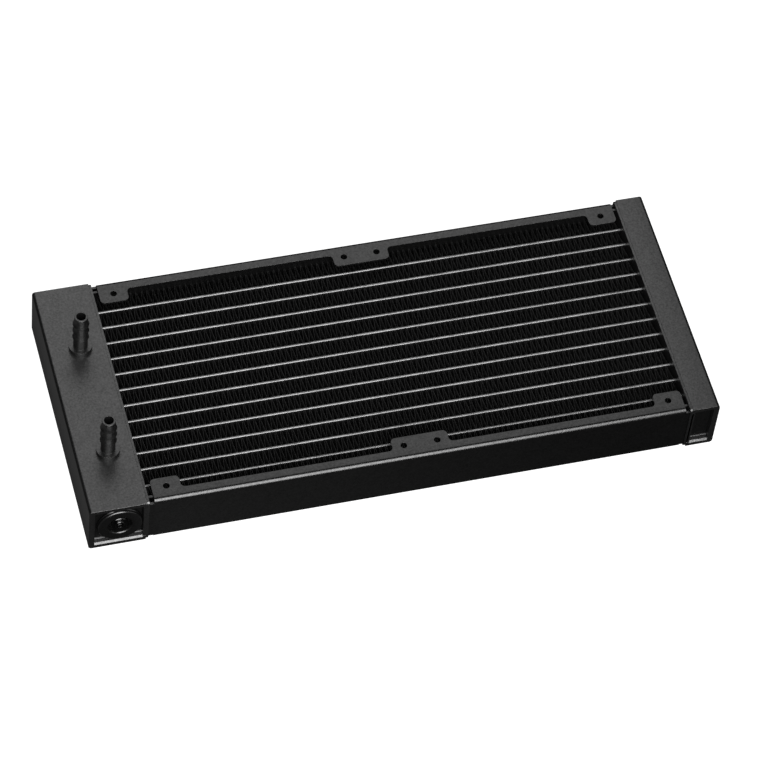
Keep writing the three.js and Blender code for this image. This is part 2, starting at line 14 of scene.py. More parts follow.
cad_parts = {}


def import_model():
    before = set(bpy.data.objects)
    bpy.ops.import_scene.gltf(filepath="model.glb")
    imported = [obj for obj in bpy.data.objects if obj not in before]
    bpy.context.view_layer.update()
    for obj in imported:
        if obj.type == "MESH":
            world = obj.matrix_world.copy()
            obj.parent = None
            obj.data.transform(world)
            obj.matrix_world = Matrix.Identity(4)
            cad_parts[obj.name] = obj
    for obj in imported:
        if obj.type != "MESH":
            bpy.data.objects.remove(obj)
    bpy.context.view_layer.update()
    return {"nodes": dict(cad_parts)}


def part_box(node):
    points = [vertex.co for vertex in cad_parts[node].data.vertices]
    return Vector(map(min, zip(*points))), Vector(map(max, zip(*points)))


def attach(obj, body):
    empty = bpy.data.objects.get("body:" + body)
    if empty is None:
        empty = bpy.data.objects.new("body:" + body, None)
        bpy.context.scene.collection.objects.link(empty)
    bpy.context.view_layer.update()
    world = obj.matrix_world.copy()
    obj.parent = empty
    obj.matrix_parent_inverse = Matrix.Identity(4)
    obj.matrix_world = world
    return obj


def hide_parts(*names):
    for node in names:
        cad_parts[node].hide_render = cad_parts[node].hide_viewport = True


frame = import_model()

MM = 0.001
SEED = 20

# ---------------------------------------------------------------------------------------------
# Dimensions in millimetres. What a node's box says is read from the frame, the rest is named here.
# ---------------------------------------------------------------------------------------------


def box_mm(node):
    """Lowest and highest corner of a CAD node at rest."""
    low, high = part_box(node)
    return [v / MM for v in low], [v / MM for v in high]


SEAM = 0.05
SHELL_SIDE_WALL = 2.6
SHELL_FLAT_WALL = 2.8
SHELL_EDGE_RADIUS = 1.5
SHELL_MOUTH_CHAMFER = 0.8
HEADER_THICKNESS = 1.0
HEADER_CORNER_RADIUS = 1.6
CAP_STEP = 0.5
CAP_RIM = 1.55
CAP_ROUND = 0.35
PORT_HOLE_REACH = 5  # of the cutter for the port, to each side of the cap's face
TUBE_COUNT = 12
TUBE_PITCH = 8.594
TUBE_WALL = 0.25
CHANNEL_SHEET = 1.2
CHANNEL_TOP_BEND = 2.0
CHANNEL_BOTTOM_BEND = 1.3
FLANGE_EDGE = 54.3
TAB_EDGE = 48.0
TAB_RADIUS = 2.0
FAN_CENTRE_X = 6.6
FLANGE_HALF_LENGTH = 119.0
CORNER_TAB_START = 106.3
MIDDLE_TAB_HALF = 12.6
SCREW_X = (-112.5, -7.5, 7.5, 112.5)
SCREW_Y = 52.5
SCREW_HOLE_RADIUS = 1.45
CUT_MARGIN = 1.0  # how far a cutting body runs past what it cuts
OVERLAP = 0.01  # of two bodies that are joined

# Width of the rounding on each kind of piece's edges.
EDGE_ROUND = {"shell": 0.14, "header": 0.18, "cap": 0.12, "barb": 0.04, "boss": 0.1}
EDGE_ROUND |= {"plug": 0.08, "channel": 0.14, "plain": 0.15}

SHELL_LEFT, SHELL_RIGHT = box_mm("tank_shell_left"), box_mm("tank_shell_right")
HEADER_LEFT, HEADER_RIGHT = box_mm("header_plate_left"), box_mm("header_plate_right")
LENGTH_HALF = SHELL_RIGHT[1][0]
WIDTH_HALF = SHELL_LEFT[1][1]
HEIGHT = SHELL_LEFT[1][2]
MID_Z = HEIGHT / 2

# ---------------------------------------------------------------------------------------------
# Mesh building
# ---------------------------------------------------------------------------------------------

# Placing functions: u and v lie in an outline's plane, w runs along its sweep.
along_x = lambda u, v, w: (w, u, v)
along_y = lambda u, v, w: (u, w, v)
along_z = lambda u, v, w: (u, v, w)


def arc(cx, cy, radius, start, end, steps):
    """Points of an arc, angles in degrees."""
    return [
        (
            cx + radius * math.cos(math.radians(start + (end - start) * i / steps)),
            cy + radius * math.sin(math.radians(start + (end - start) * i / steps)),
        )
        for i in range(steps + 1)
    ]


def new_object(name, vertices, faces):
    mesh = bpy.data.meshes.new(name)
    mesh.from_pydata([[c * MM for c in v] for v in vertices], [], faces)
    obj = bpy.data.objects.new(name, mesh)
    bpy.context.scene.collection.objects.link(obj)
    bm = bmesh.new()
    bm.from_mesh(mesh)
    bmesh.ops.remove_doubles(bm, verts=bm.verts, dist=1e-7)
    bmesh.ops.recalc_face_normals(bm, faces=bm.faces)
    bm.to_mesh(mesh)
    bm.free()
    return obj


def joined(parts):
    """Several (vertices, faces) pairs as one."""
    vertices, faces = [], []
    for v, f in parts:
        faces += [tuple(i + len(vertices) for i in face) for face in f]
        vertices += v
    return vertices, faces


def prism(outline, place, start, end):
    """A closed outline swept from start to end."""
    n = len(outline)
    vertices = [place(u, v, w) for w in (start, end) for u, v in outline]
    faces = [tuple(reversed(range(n))), tuple(range(n, 2 * n))]
    faces += [(i, (i + 1) % n, n + (i + 1) % n, n + i) for i in range(n)]
    return vertices, faces


def hollow_prism(outer, inner, place, start, end):
    """The same between two outlines with equally many points."""
    n = len(outer)
    vertices = [place(u, v, w) for w in (start, end) for loop in (outer, inner) for u, v in loop]
    faces = []
    for i in range(n):
        j = (i + 1) % n
        a, b, c, d = 0, n, 2 * n, 3 * n
        faces += [(a + i, a + j, c + j, c + i), (b + j, b + i, d + i, d + j)]
        faces += [(a + j, a + i, b + i, b + j), (c + i, c + j, d + j, d + i)]
    return vertices, faces


def lathe(profile, place, segments=96, pitch=None):
    """Body of revolution from (radius, height) or (radius, height, groove) points.

    A groove is how far a thread of this pitch swings the radius in and out at that point.
    """
    closed = profile[0] == profile[-1]
    points = profile[:-1] if closed else profile
    vertices, rings = [], []
    for point in points:
        radius, height = point[:2]
        groove = point[2] if len(point) > 2 else 0
        if radius == 0:
            rings.append([len(vertices)] * segments)
            vertices.append(place(0, 0, height))
            continue
        rings.append(list(range(len(vertices), len(vertices) + segments)))
        for i in range(segments):
            turn = i / segments
            phase = (height / pitch + turn) % 1 if groove else 0
            r = radius - groove * (1 - abs(2 * phase - 1))
            angle = 2 * math.pi * turn
            vertices.append(place(r * math.cos(angle), r * math.sin(angle), height))
    faces = []
    for k in range(len(rings) if closed else len(rings) - 1):
        lower, upper = rings[k], rings[(k + 1) % len(rings)]
        for i in range(segments):
            j = (i + 1) % segments
            face = dict.fromkeys((lower[i], lower[j], upper[j], upper[i]))
            if len(face) > 2:
                faces.append(tuple(face))
    return vertices, faces


def apply_modifiers(obj):
    """Makes what the modifiers show the object's own mesh."""
    bpy.context.view_layer.update()
    graph = bpy.context.evaluated_depsgraph_get()
    mesh = bpy.data.meshes.new_from_object(obj.evaluated_get(graph))
    obj.modifiers.clear()
    obj.data = mesh


def carve(obj, cutter_parts, operation="DIFFERENCE"):
    """Cuts these parts out of the object, or joins them to it with UNION."""
    cutter = new_object("cutter", *joined(cutter_parts))
    modifier = obj.modifiers.new("carve", "BOOLEAN")
    modifier.operation, modifier.solver, modifier.object = operation, "EXACT", cutter
    apply_modifiers(obj)
    bpy.data.objects.remove(cutter)


def turned_over(parts, matrix):
    """Mesh data moved by a 4x4 matrix in millimetres."""
    vertices, faces = parts
    return [tuple(matrix @ Vector(v)) for v in vertices], faces


# ---------------------------------------------------------------------------------------------
# Materials
# ---------------------------------------------------------------------------------------------


def node(tree, kind, inputs=None, **settings):
    made = tree.nodes.new(kind)
    for key, value in settings.items():
        setattr(made, key, value)
    for key, value in (inputs or {}).items():
        if isinstance(value, bpy.types.NodeSocket):
            tree.links.new(value, made.inputs[key])
        else:
            made.inputs[key].default_value = value
    return made


def noise(tree, scale, detail=2.0, roughness=0.5, stretch=(1, 1, 1)):
    """Noise in the object's own metres: scale is features per metre."""
    coords = node(tree, "ShaderNodeTexCoord").outputs["Object"]
    mapping = node(tree, "ShaderNodeMapping", {"Vector": coords, "Scale": stretch})
    made = node(
        tree,
        "ShaderNodeTexNoise",
        {
            "Vector": mapping.outputs["Vector"],
            "Scale": scale,
            "Detail": detail,
            "Roughness": roughness,
        },
    )
    return made.outputs["Fac"]


def ramp(tree, value, stops):
    """Colour ramp with (position, grey or colour) stops."""
    made = node(tree, "ShaderNodeValToRGB", {"Fac": value})
    elements = made.color_ramp.elements
    while len(elements) < len(stops):
        elements.new(0.5)
    for element, (position, colour) in zip(elements, stops):
        element.position = position
        grey = (colour,) * 3 if isinstance(colour, (int, float)) else colour
        element.color = (*grey, 1)
    return made.outputs["Color"]


def in_range(tree, value, low, high, start=0.0, end=1.0):
    limits = {"Value": value, "From Min": start, "From Max": end, "To Min": low, "To Max": high}
    return node(tree, "ShaderNodeMapRange", limits).outputs["Result"]


def bump(tree, height, distance, strength=1.0, normal=None):
    inputs = {"Height": height, "Distance": distance, "Strength": strength}
    if normal is not None:
        inputs["Normal"] = normal
    return node(tree, "ShaderNodeBump", inputs).outputs["Normal"]


def material(name, metallic, specular=0.5):
    made = bpy.data.materials.new(name)
    made.use_nodes = True
    shader = made.node_tree.nodes["Principled BSDF"]
    shader.inputs["Metallic"].default_value = metallic
    shader.inputs["Specular IOR Level"].default_value = specular
    return made, made.node_tree, shader


def powder_coat(name, shades, roughness, sheen, pebble):
    """Baked powder paint: pebbled like orange peel, with a sheen that varies from grain to grain."""
    made, tree, shader = material(name, 0.0)
    pebbles = noise(tree, 1300, 3.0, 0.6)
    slow = noise(tree, 180, 2.0)
    mottle = noise(tree, 1100, 3.0, 0.7)
    colour = ramp(tree, mottle, [(0.3, shades[0]), (0.7, shades[1])])
    tree.links.new(colour, shader.inputs["Base Color"])
    tree.links.new(in_range(tree, mottle, *sheen, 0.3, 0.7), shader.inputs["Specular IOR Level"])
    tree.links.new(in_range(tree, slow, *roughness), shader.inputs["Roughness"])
    swell = bump(tree, slow, 0.00006, 0.5)
    tree.links.new(bump(tree, pebbles, pebble, 0.8, swell), shader.inputs["Normal"])
    return made


def tube_paint():
    """Paint whose colour and shine follow the surface's facing: painted highlight, lighter, shiny and
    uneven, where it faces up or down, as on the tubes' round edges, and painted shade, black and dull,
    on their flanks between the fins. How the two meet is set by listed limits."""
    made, tree, shader = material("tube_paint", 0.35, 1.0)
    runs = noise(tree, 420, 4.0, 0.6, (0.35, 1, 1))
    specks = noise(tree, 2600, 2.0, 0.5, (0.5, 1, 1))
    facing = node(tree, "ShaderNodeNewGeometry").outputs["Normal"]
    upright = node(tree, "ShaderNodeSeparateXYZ", {0: facing}).outputs["Z"]
    turned = node(tree, "ShaderNodeMath", {0: upright}, operation="ABSOLUTE").outputs[0]
    # Facing up or down is painted highlight on the tubes' noses; facing sideways is painted shade,
    # black and dull, on the flanks between the fins.
    painted_lit_share = in_range(tree, turned, 0.0, 1.0, 0.15, 0.45)
    shade = in_range(tree, runs, 0.02, 0.08, 0.3, 0.7)
    # The base colour, metallic and specular below all follow this painted highlight and painted shade.
    colour = node(tree, "ShaderNodeMath", {0: painted_lit_share, 1: shade}, operation="MULTIPLY").outputs[0]
    tree.links.new(colour, shader.inputs["Base Color"])
    tree.links.new(in_range(tree, painted_lit_share, 0.0, 0.3), shader.inputs["Metallic"])
    tree.links.new(in_range(tree, painted_lit_share, 0.1, 0.9), shader.inputs["Specular IOR Level"])
    dull = in_range(tree, painted_lit_share, 0.4, 0.0)
    rough = in_range(tree, runs, 0.25, 0.4)
    rough = node(tree, "ShaderNodeMath", {0: rough, 1: dull}, operation="ADD").outputs[0]
    tree.links.new(rough, shader.inputs["Roughness"])
    tree.links.new(bump(tree, specks, 0.00003, 0.6), shader.inputs["Normal"])
    return made


def blackened_steel():
    """Turned steel with a black finish, a little brighter in patches."""
    made, tree, shader = material("plug_steel", 1.0)
    lines = noise(tree, 1500, 3.0, 0.6, (0.2, 1, 1))
    wear = noise(tree, 500, 2.0)
    tree.links.new(ramp(tree, wear, [(0.35, 0.03), (0.75, 0.07)]), shader.inputs["Base Color"])
    tree.links.new(in_range(tree, lines, 0.18, 0.3), shader.inputs["Roughness"])
    tree.links.new(bump(tree, lines, 0.00001, 0.5), shader.inputs["Normal"])
    return made


def seal_rubber():
    made, tree, shader = material("seal_rubber", 0.0, 0.4)
    grain = noise(tree, 3000, 2.0)
    tree.links.new(ramp(tree, grain, [(0.3, 0.008), (0.7, 0.016)]), shader.inputs["Base Color"])
    tree.links.new(in_range(tree, grain, 0.6, 0.8), shader.inputs["Roughness"])
    tree.links.new(bump(tree, grain, 0.00002, 0.5), shader.inputs["Normal"])
    return made


TANK_PAINT = powder_coat("tank_paint", (0.001, 0.003), (0.31, 0.39), (0.45, 0.8), 0.00005)
CHANNEL_PAINT = powder_coat("channel_paint", (0.0008, 0.0016), (0.24, 0.32), (0.3, 0.55), 0.00003)
CAP_PAINT = powder_coat("cap_paint", (0.0008, 0.0016), (0.24, 0.32), (0.35, 0.6), 0.000004)
BARB_PAINT = powder_coat("barb_paint", (0.001, 0.003), (0.28, 0.36), (0.4, 0.7), 0.00001)
FIN_PAINT = powder_coat("fin_paint", (0.001, 0.003), (0.5, 0.65), (0.1, 0.45), 0.00001)
TUBE_PAINT = tube_paint()
PLUG_STEEL = blackened_steel()
SEAL_RUBBER = seal_rubber()

# ---------------------------------------------------------------------------------------------
# Pieces
# ---------------------------------------------------------------------------------------------

SMOOTH_ANGLE = math.radians(32)


def smooth(obj):
    """Smooth shading, with a crease wherever faces meet at more than SMOOTH_ANGLE."""
    for polygon in obj.data.polygons:
        polygon.use_smooth = True
    obj.data.set_sharp_from_angle(angle=SMOOTH_ANGLE)


def edge_round(obj, width, segments=2):
    """Rounds every real edge by width millimetres, with flat faces kept flat in shading."""
    modifier = obj.modifiers.new("edges", "BEVEL")
    modifier.width, modifier.segments = width * MM, segments
    modifier.limit_method, modifier.angle_limit = "ANGLE", SMOOTH_ANGLE
    modifier.harden_normals = True
    modifier.use_clamp_overlap = True


def finished(obj, cad_node, surface, body="radiator"):
    """Gives a new piece its finish and puts it in place of its CAD node."""
    obj.name = f"{cad_node}_fine"
    obj.data.name = obj.name
    obj.data.materials.clear()
    obj.data.materials.append(surface)
    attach(obj, body)
    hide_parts(cad_node)
    return obj


def dressed(cad_node, surface):
    """A CAD node whose shape is right stays, with rounded edges and its finish."""
    obj = frame["nodes"][cad_node]
    for place in obj.material_slots:
        place.material = surface
    edge_round(obj, EDGE_ROUND["plain"])


# Tanks -----------------------------------------------------------------------------------------


def mouth_cutter(x0, x1, side):
    """Wedge that chamfers the inside top and bottom of a tank's open end at y = side * WIDTH_HALF."""
    c = SHELL_MOUTH_CHAMFER
    z0, z1 = SHELL_FLAT_WALL, HEIGHT - SHELL_FLAT_WALL
    inner = [(x0, z0), (x1, z0), (x1, z1), (x0, z1)]
    grown = [(x0, z0 - 2 * c), (x1, z0 - 2 * c), (x1, z1 + 2 * c), (x0, z1 + 2 * c)]
    near, far = side * (WIDTH_HALF - c), side * (WIDTH_HALF + c)
    vertices = [(x, near, z) for x, z in inner] + [(x, far, z) for x, z in grown]
    faces = [(0, 1, 2, 3), (7, 6, 5, 4)]
    faces += [(i, 4 + i, 4 + (i + 1) % 4, (i + 1) % 4) for i in range(4)]
    return vertices, faces


def tank_mouths(shell, header):
    """Cutters for both open ends; the cavity runs from the shell's side wall to the header's land."""
    if shell[0][0] < 0:
        x0, x1 = shell[0][0] + SHELL_SIDE_WALL, header[0][0]
    else:
        x0, x1 = header[1][0], shell[1][0] - SHELL_SIDE_WALL
    return [mouth_cutter(x0, x1, side) for side in (-1, 1)]


def tank_shell(side, shell, header, holes):
    """Folded shell, open towards the core and at both ends, with (x, y, radius) holes in its top."""
    direction = 1 if side == "left" else -1
    outer = shell[0][0] if side == "left" else shell[1][0]
    seam = shell[1][0] if side == "left" else shell[0][0]
    r, t, top = SHELL_EDGE_RADIUS, SHELL_FLAT_WALL, HEIGHT
    wall = SHELL_SIDE_WALL
    inward = [(wall, t), (wall, top - t)]
    outline = [(abs(seam - outer), 0), (abs(seam - outer), t), *inward]
    outline += [(abs(seam - outer), top - t), (abs(seam - outer), top)]
    outline += arc(r, top - r, r, 90, 180, 8) + arc(r, r, r, 180, 270, 8)
    outline = [(outer + direction * u, v) for u, v in outline]
    obj = new_object("shell", *prism(outline, along_y, -WIDTH_HALF, WIDTH_HALF))
    cutters = tank_mouths(shell, header)
    cutters += [
        lathe([(0, 0), (radius, 0), (radius, HEIGHT), (0, HEIGHT)], offset(x, y, MID_Z), 64)
        for x, y, radius in holes
    ]
    carve(obj, cutters)
    smooth(obj)
    edge_round(obj, EDGE_ROUND["shell"])
    return finished(obj, f"tank_shell_{side}", TANK_PAINT)


def offset(x, y, z):
    """Placing function for a lathe that stands up (+Z) at this point."""
    return lambda u, v, w: (x + u, y + v, z + w)


def forward(x, y, z):
    """Placing function for a lathe that points out of the front (-Y)."""
    return lambda u, v, w: (x + u, y - w, z + v)


def tube_y(index):
    return ((TUBE_COUNT - 1) / 2 - index) * TUBE_PITCH


def tube_outline(y, grown=0.0, steps=12):
    low, high = box_mm("tube_02")
    half = (high[1] - low[1]) / 2 + grown
    reach = (high[2] - low[2]) / 2 + grown - half
    return arc(y, MID_Z + reach, half, 0, 180, steps) + arc(y, MID_Z - reach, half, 180, 360, steps)


def header_plate(side, header):
    """Plate across the core's end of a tank, with a raised land inside the shell and the tube slots."""
    left = side == "left"
    joint = header[1][0] - HEADER_THICKNESS if left else header[0][0] + HEADER_THICKNESS
    face = header[1][0] if left else header[0][0]
    back = header[0][0] if left else header[1][0]
    r, w = HEADER_CORNER_RADIUS, WIDTH_HALF
    outline = arc(w - r, r, r, -90, 0, 8) + arc(w - r, HEIGHT - r, r, 0, 90, 8)
    outline += arc(r - w, HEIGHT - r, r, 90, 180, 8) + arc(r - w, r, r, 180, 270, 8)
    obj = new_object("header", *prism(outline, along_x, min(joint, face), max(joint, face)))
    low, high = SHELL_FLAT_WALL + SEAM, HEIGHT - SHELL_FLAT_WALL - SEAM
    land = [(-w, low), (w, low), (w, high), (-w, high)]
    overlap = OVERLAP if left else -OVERLAP
    carve(obj, [prism(land, along_x, *sorted((back, joint + overlap)))], "UNION")
    start, end = sorted((back, face))
    slots = [
        prism(tube_outline(tube_y(i), SEAM), along_x, start - CUT_MARGIN, end + CUT_MARGIN)
        for i in range(TUBE_COUNT)
    ]
    carve(obj, slots)
    smooth(obj)
    edge_round(obj, EDGE_ROUND["header"])
    return finished(obj, f"header_plate_{side}", TANK_PAINT)


def end_cap(cad_node, front, hole=None):
    """Pressed cap: rims along its top and bottom, rounded down to a middle that is set back."""
    low, high = box_mm(cad_node)
    face, back = (low[1], high[1]) if front else (high[1], low[1])
    inward = 1 if front else -1
    z0, z1, step, r = low[2], high[2], CAP_STEP, CAP_ROUND
    floor = face + inward * step
    corner = arc(0, 0, 1, 90, 0, 5)
    outline = [(face, z0), (face, z0 + CAP_RIM - r)]
    outline += [(face + inward * r * (1 - v), z0 + CAP_RIM - r + r * u) for u, v in corner[1:]]
    outline += [(floor, z0 + CAP_RIM), (floor, z1 - CAP_RIM)]
    outline += [
        (face + inward * r * (1 - v), z1 - CAP_RIM + r - r * u) for u, v in reversed(corner[1:])
    ]
    outline += [(face, z1 - CAP_RIM + r), (face, z1), (back, z1), (back, z0)]
    obj = new_object("cap", *prism(outline, along_x, low[0], high[0]))
    if hole:
        x, radius = hole
        reach = PORT_HOLE_REACH
        bore = [(0, -reach), (radius, -reach), (radius, reach), (0, reach)]
        carve(obj, [lathe(bore, forward(x, face, MID_Z), 96)])
    smooth(obj)
    edge_round(obj, EDGE_ROUND["cap"])
    return finished(obj, cad_node, CAP_PAINT)


# Hose barbs ------------------------------------------------------------------------------------

BARB_RADII = {"bore": 2.1, "spigot": 3.4, "neck": 3.2, "root": 2.95, "rib": 3.65, "tip": 2.95}
BARB_HOLE = 3.7
BARB_FLANGE_HEIGHT = 2.0
BARB_RIB_DEPTHS = (14.1, 9.6, 5.1)
BARB_RIB_STEP = 0.5
BARB_RIB_LENGTH = 3.4
BARB_FLARE_STEPS = 8
BARB_TIP_ROUND = 0.08
BARB_BORE_ROUND = 0.05
BARB_RIB_ROUND = 0.05
BARB_RIB_INSET = 0.1  # of the undercut's edge from the rib's radius


def hose_barb(cad_node):
    """Spigot, flange and neck, then three ribs that flare down from the root to a sharp edge."""
    low, high = box_mm(cad_node)
    x, y = (low[0] + high[0]) / 2, (low[1] + high[1]) / 2
    flange = (high[0] - low[0]) / 2
    r, tip = BARB_RADII, high[2]
    top = HEIGHT + SEAM + BARB_FLANGE_HEIGHT
    profile = [(r["bore"], low[2]), (r["spigot"], low[2]), (r["spigot"], HEIGHT + SEAM)]
    profile += [(flange, HEIGHT + SEAM), (flange, top)]
    profile.append((r["neck"], top))
    below = r["neck"]
    for depth in BARB_RIB_DEPTHS:
        edge = tip - depth
        profile += [(below, edge - BARB_RIB_STEP), (r["rib"] - BARB_RIB_INSET, edge - BARB_RIB_ROUND)]
        for i in range(BARB_FLARE_STEPS + 1):
            share = i / BARB_FLARE_STEPS
            flare = (r["rib"] - r["root"]) * (1 - share) ** 2
            height = edge + BARB_RIB_ROUND + BARB_RIB_LENGTH * share
            profile.append((r["root"] + flare, height))
        below = r["root"]
    profile += [(r["tip"], tip - BARB_TIP_ROUND), (r["tip"] - BARB_TIP_ROUND, tip)]
    profile += [(r["bore"] + BARB_BORE_ROUND, tip), (r["bore"], tip - BARB_BORE_ROUND)]
    profile.append((r["bore"], low[2]))
    obj = new_object("barb", *lathe(profile, offset(x, y, 0)))
    smooth(obj)
    edge_round(obj, EDGE_ROUND["barb"])
    return finished(obj, cad_node, BARB_PAINT)


# Fill port -------------------------------------------------------------------------------------

PORT_NECK_HOLE = 7.2
PORT = {"disc": 9.9, "pilot": 9.0, "neck": 6.9, "round": 0.8, "braze_height": 0.3}
PORT |= {"counterbore": 5.3, "counterbore_depth": 3.2, "thread_bore": 2.5}
THREAD_PITCH = 0.8
THREAD_DEPTH = 0.4
THREAD_STEPS = 8  # points for each turn
THREAD_LEAD = 0.3  # plain length at each end of the boss's thread, and its countersink
PLUG_THREAD = 2.4
PLUG_LENGTH = 6.4
PLUG_TIP_CHAMFER = 0.4
PLUG_THREAD_END = 0.6  # of the thread, below the head
PLUG_UNDERCUT = 0.5
PLUG_HEAD_CHAMFERS = (0.1, 0.2)  # below and above
PLUG_CROWN = 2.4
PLUG_CROWN_HEIGHT = 0.9
PLUG_CROWN_ROUND = 0.6
PLUG_SOCKET_FLATS = 2.5
PLUG_SOCKET_DEPTH = 1.4


def thread_points(radius, start, end, depth):
    """Points along a thread from one height to another; its grooves fade out over the end turns."""
    count = max(2, round(abs(end - start) / THREAD_PITCH * THREAD_STEPS))
    points = []
    for i in range(count + 1):
        share = i / count
        fade = min(1, 4 * share, 4 * (1 - share))
        points.append((radius, start + (end - start) * share, depth * fade + 1e-9))
    return points


def port_boss():
    """Round disc on the cap with a counterbore for the plug's head and a threaded neck behind it."""
    low, high = box_mm("port_boss")
    x, face = (low[0] + high[0]) / 2, low[1]
    depth = high[1] - low[1]
    cap_face = box_mm("end_cap_left_front")[0][1]
    rim_seat = face - cap_face + SEAM
    p = PORT
    profile = [(p["thread_bore"], -depth), (p["neck"], -depth), (p["neck"], rim_seat - CAP_STEP)]
    profile += [(p["pilot"], rim_seat - CAP_STEP), (p["pilot"], rim_seat)]
    braze = (high[0] - low[0]) / 2
    profile += [(braze, rim_seat), (p["disc"], rim_seat + p["braze_height"])]
    r = p["round"]
    profile += arc(p["disc"] - r, -r, r, 0, 90, 8) + arc(p["counterbore"] + r, -r, r, 90, 180, 8)
    profile += [(p["counterbore"], -p["counterbore_depth"])]
    profile += [(p["thread_bore"] + THREAD_LEAD, -p["counterbore_depth"])]
    start, end = -p["counterbore_depth"] - THREAD_LEAD, -depth + THREAD_LEAD
    profile += thread_points(p["thread_bore"], start, end, -THREAD_DEPTH)
    profile += [(p["thread_bore"], -depth)]
    obj = new_object("boss", *lathe(profile, forward(x, face, MID_Z), 96, THREAD_PITCH))
    smooth(obj)
    edge_round(obj, EDGE_ROUND["boss"])
    return finished(obj, "port_boss", CAP_PAINT)


def fill_plug():
    """Threaded shank under a head with a rounded crown, which holds the hexagon socket."""
    low, high = box_mm("fill_plug")
    x, z = (low[0] + high[0]) / 2, (low[2] + high[2]) / 2
    head, length = (high[0] - low[0]) / 2, high[1] - low[1]
    head_bottom = PLUG_LENGTH - length
    c, crown, r = PLUG_TIP_CHAMFER, PLUG_CROWN_HEIGHT, PLUG_CROWN_ROUND
    profile = [(0, -length), (PLUG_THREAD - 2 * c, -length), (PLUG_THREAD - c, c / 2 - length)]
    profile += thread_points(PLUG_THREAD, c - length, head_bottom - PLUG_THREAD_END, THREAD_DEPTH)
    profile += [(PLUG_THREAD - c, head_bottom - PLUG_UNDERCUT), (PLUG_THREAD - c, head_bottom)]
    below, above = PLUG_HEAD_CHAMFERS
    profile += [(head - below, head_bottom), (head, head_bottom + below)]
    profile += [(head, -crown - above), (head - above, -crown), (PLUG_CROWN, -crown)]
    profile += [*arc(PLUG_CROWN - r, -r, r, 0, 90, 8), (0, 0)]
    obj = new_object("plug", *lathe(profile, forward(x, low[1], z), 96, THREAD_PITCH))
    corner = PLUG_SOCKET_FLATS / math.sqrt(3)
    hexagon = [(x + u, z + v) for u, v in arc(0, 0, corner, 0, 300, 5)]
    bottom = low[1] + PLUG_SOCKET_DEPTH
    carve(obj, [prism(hexagon, along_y, low[1] - CUT_MARGIN, bottom)])
    smooth(obj)
    edge_round(obj, EDGE_ROUND["plug"])
    return finished(obj, "fill_plug", PLUG_STEEL, "plug")


def plug_seal():
    low, high = box_mm("plug_seal")
    x, y, z = [(a + b) / 2 for a, b in zip(low, high)]
    section = (high[1] - low[1]) / 2
    middle = (high[0] - low[0]) / 2 - section
    ring = arc(middle, 0, section, 0, 360, 20)
    ring[-1] = ring[0]
    obj = new_object("seal", *lathe(ring, forward(x, y, z), 72))
    smooth(obj)
    return finished(obj, "plug_seal", SEAL_RUBBER, "seal")


# Core ------------------------------------------------------------------------------------------


def coolant_tube(index):
    cad_node = f"tube_{index + 1:02d}"
    low, high = box_mm(cad_node)
    y = tube_y(index)
    loops = (tube_outline(y), tube_outline(y, -TUBE_WALL))
    obj = new_object("tube", *hollow_prism(*loops, along_x, low[0], high[0]))
    smooth(obj)
    return finished(obj, cad_node, TUBE_PAINT)


FIN_WAVE = 2.5
FIN_SHEET = 0.12
FIN_CREST = 0.3
FIN_UNEVEN = 0.07


def fin_centreline(x0, x1, half, rng):
    """Middle of the folded strip, seen from above: straight legs and rounded crests."""
    folds = 2 * round((x1 - x0) / FIN_WAVE)
    step = (x1 - x0) / folds
    crests = []
    for i in range(folds + 1):
        x = x0 + i * step + (rng.uniform(-FIN_UNEVEN, FIN_UNEVEN) if 0 < i < folds else 0)
        crests.append((x, half if i % 2 else -half))
    points = []
    for i, (x, y) in enumerate(crests):
        if i in (0, folds):
            points.append((x, y))
            continue
        sign = 1 if y > 0 else -1
        (xa, ya), (xb, yb) = crests[i - 1], crests[i + 1]
        r = FIN_CREST
        centre = y - sign * r
        lean_a = math.degrees(math.atan2(x - r - xa, abs(ya - centre)))
        lean_b = math.degrees(math.atan2(xb - x - r, abs(yb - centre)))
        start, end = 180 - lean_a, lean_b
        for k in range(5):
            angle = math.radians(start + (end - start) * k / 4)
            points.append((x + r * math.cos(angle), centre + sign * r * math.sin(angle)))
    return points


def fin_row(index, rng):
    """Thin strip folded into waves between two tubes."""
    cad_node = f"fin_row_{index + 1:02d}"
    low, high = box_mm(cad_node)
    centre = (low[1] + high[1]) / 2
    half = (high[1] - low[1] - FIN_SHEET) / 2
    line = np.array(fin_centreline(low[0], high[0], half, rng))
    along = np.gradient(line, axis=0)
    along /= np.linalg.norm(along, axis=1)[:, None]
    across = np.stack([-along[:, 1], along[:, 0]], axis=1) * FIN_SHEET / 2
    outline = [*(line + across), *reversed(line - across)]
    count = len(line)
    vertices = [(u, centre + v, w) for w in (low[2], high[2]) for u, v in outline]
    n = 2 * count
    faces = []
    for i in range(count - 1):
        a, b, c, d = i, i + 1, n - 2 - i, n - 1 - i
        faces += [(d, c, b, a), (n + a, n + b, n + c, n + d)]
    faces += [(i, (i + 1) % n, n + (i + 1) % n, n + i) for i in range(n)]
    obj = new_object("fins", vertices, faces)
    smooth(obj)
    return finished(obj, cad_node, FIN_PAINT)


# Side channels ---------------------------------------------------------------------------------


def channel_section(half_width, low, high):
    """Folded sheet seen along X, open towards the middle of the radiator."""
    upper, lower = CHANNEL_TOP_BEND, CHANNEL_BOTTOM_BEND
    edge = TAB_EDGE - CUT_MARGIN
    outline = [(edge, low)]
    outline += arc(half_width - lower, low + lower, lower, -90, 0, 12)
    outline += arc(half_width - upper, high - upper, upper, 0, 90, 12)
    outline += [(edge, high), (edge, high - CHANNEL_SHEET)]
    outline += arc(half_width - upper, high - upper, upper - CHANNEL_SHEET, 90, 0, 12)
    outline += arc(half_width - lower, low + lower, lower - CHANNEL_SHEET, 0, -90, 4)
    outline.append((edge, low + CHANNEL_SHEET))
    return outline


